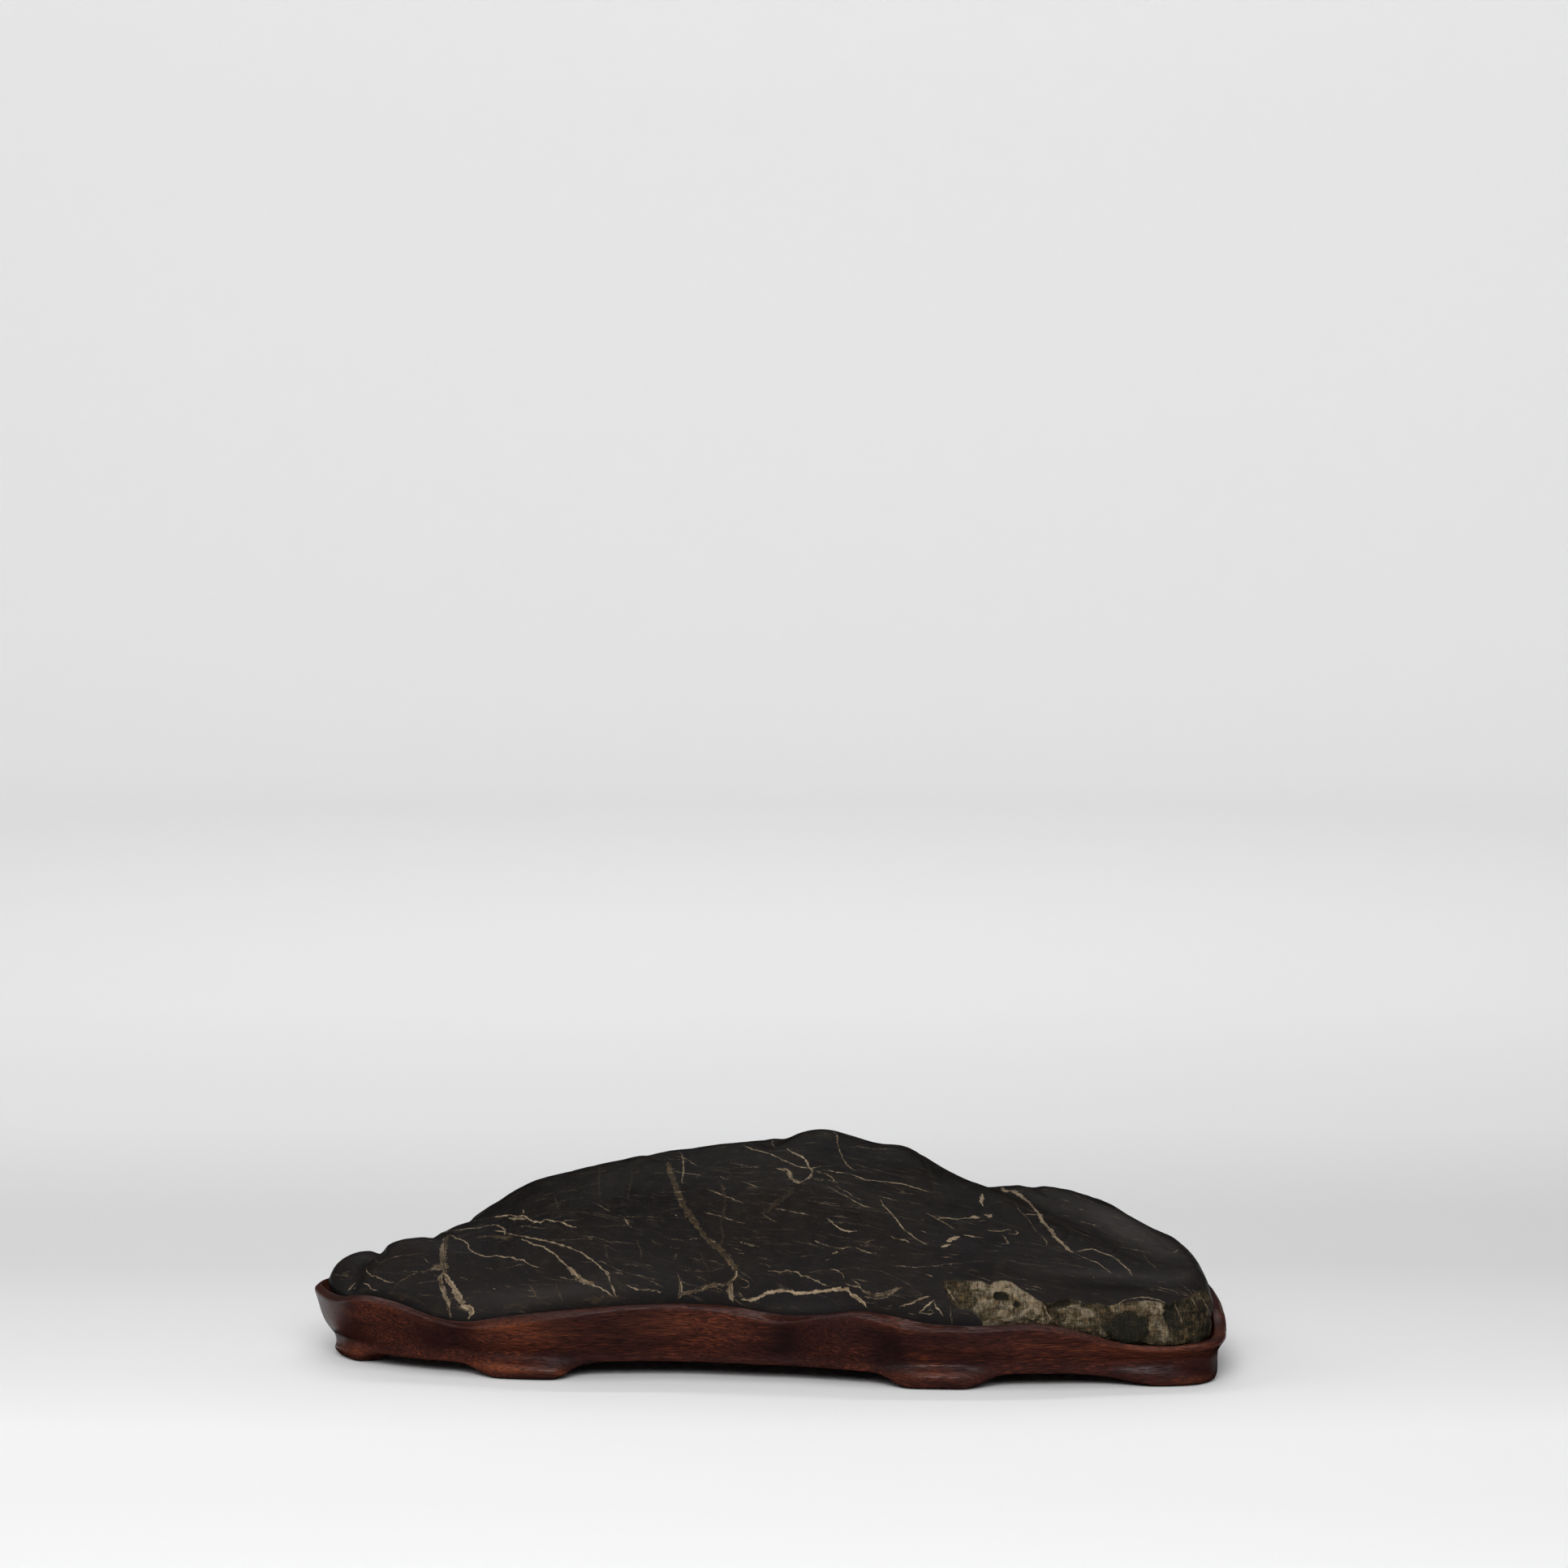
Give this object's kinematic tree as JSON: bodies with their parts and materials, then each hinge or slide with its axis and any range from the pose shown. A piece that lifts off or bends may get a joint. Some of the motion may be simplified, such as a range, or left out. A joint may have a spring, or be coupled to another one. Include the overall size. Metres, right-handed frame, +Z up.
{
  "type": "viewing stone on a wooden stand",
  "caption": "Dark veined mountain-shaped viewing stone resting in a fitted carved wooden stand with short swollen feet.",
  "frame": {"origin": "centre of the bounding box in plan, on the plane that the stand's feet rest on", "axes": "+X along the length, from the low end of the stone towards the end with the ledge; +Y towards the back; +Z up"},
  "size_m": [0.2996, 0.1178, 0.0752],
  "materials": {
    "stone": "near-black stone with a soft worn sheen, cream and olive veins and a rough tan ledge",
    "wood": "dark reddish-brown hardwood, satin, rubbed lighter along the rim and the feet"
  },
  "bodies": {
    "root": {"stone": "stone", "stand": "wood"}
  },
  "joints": []
}
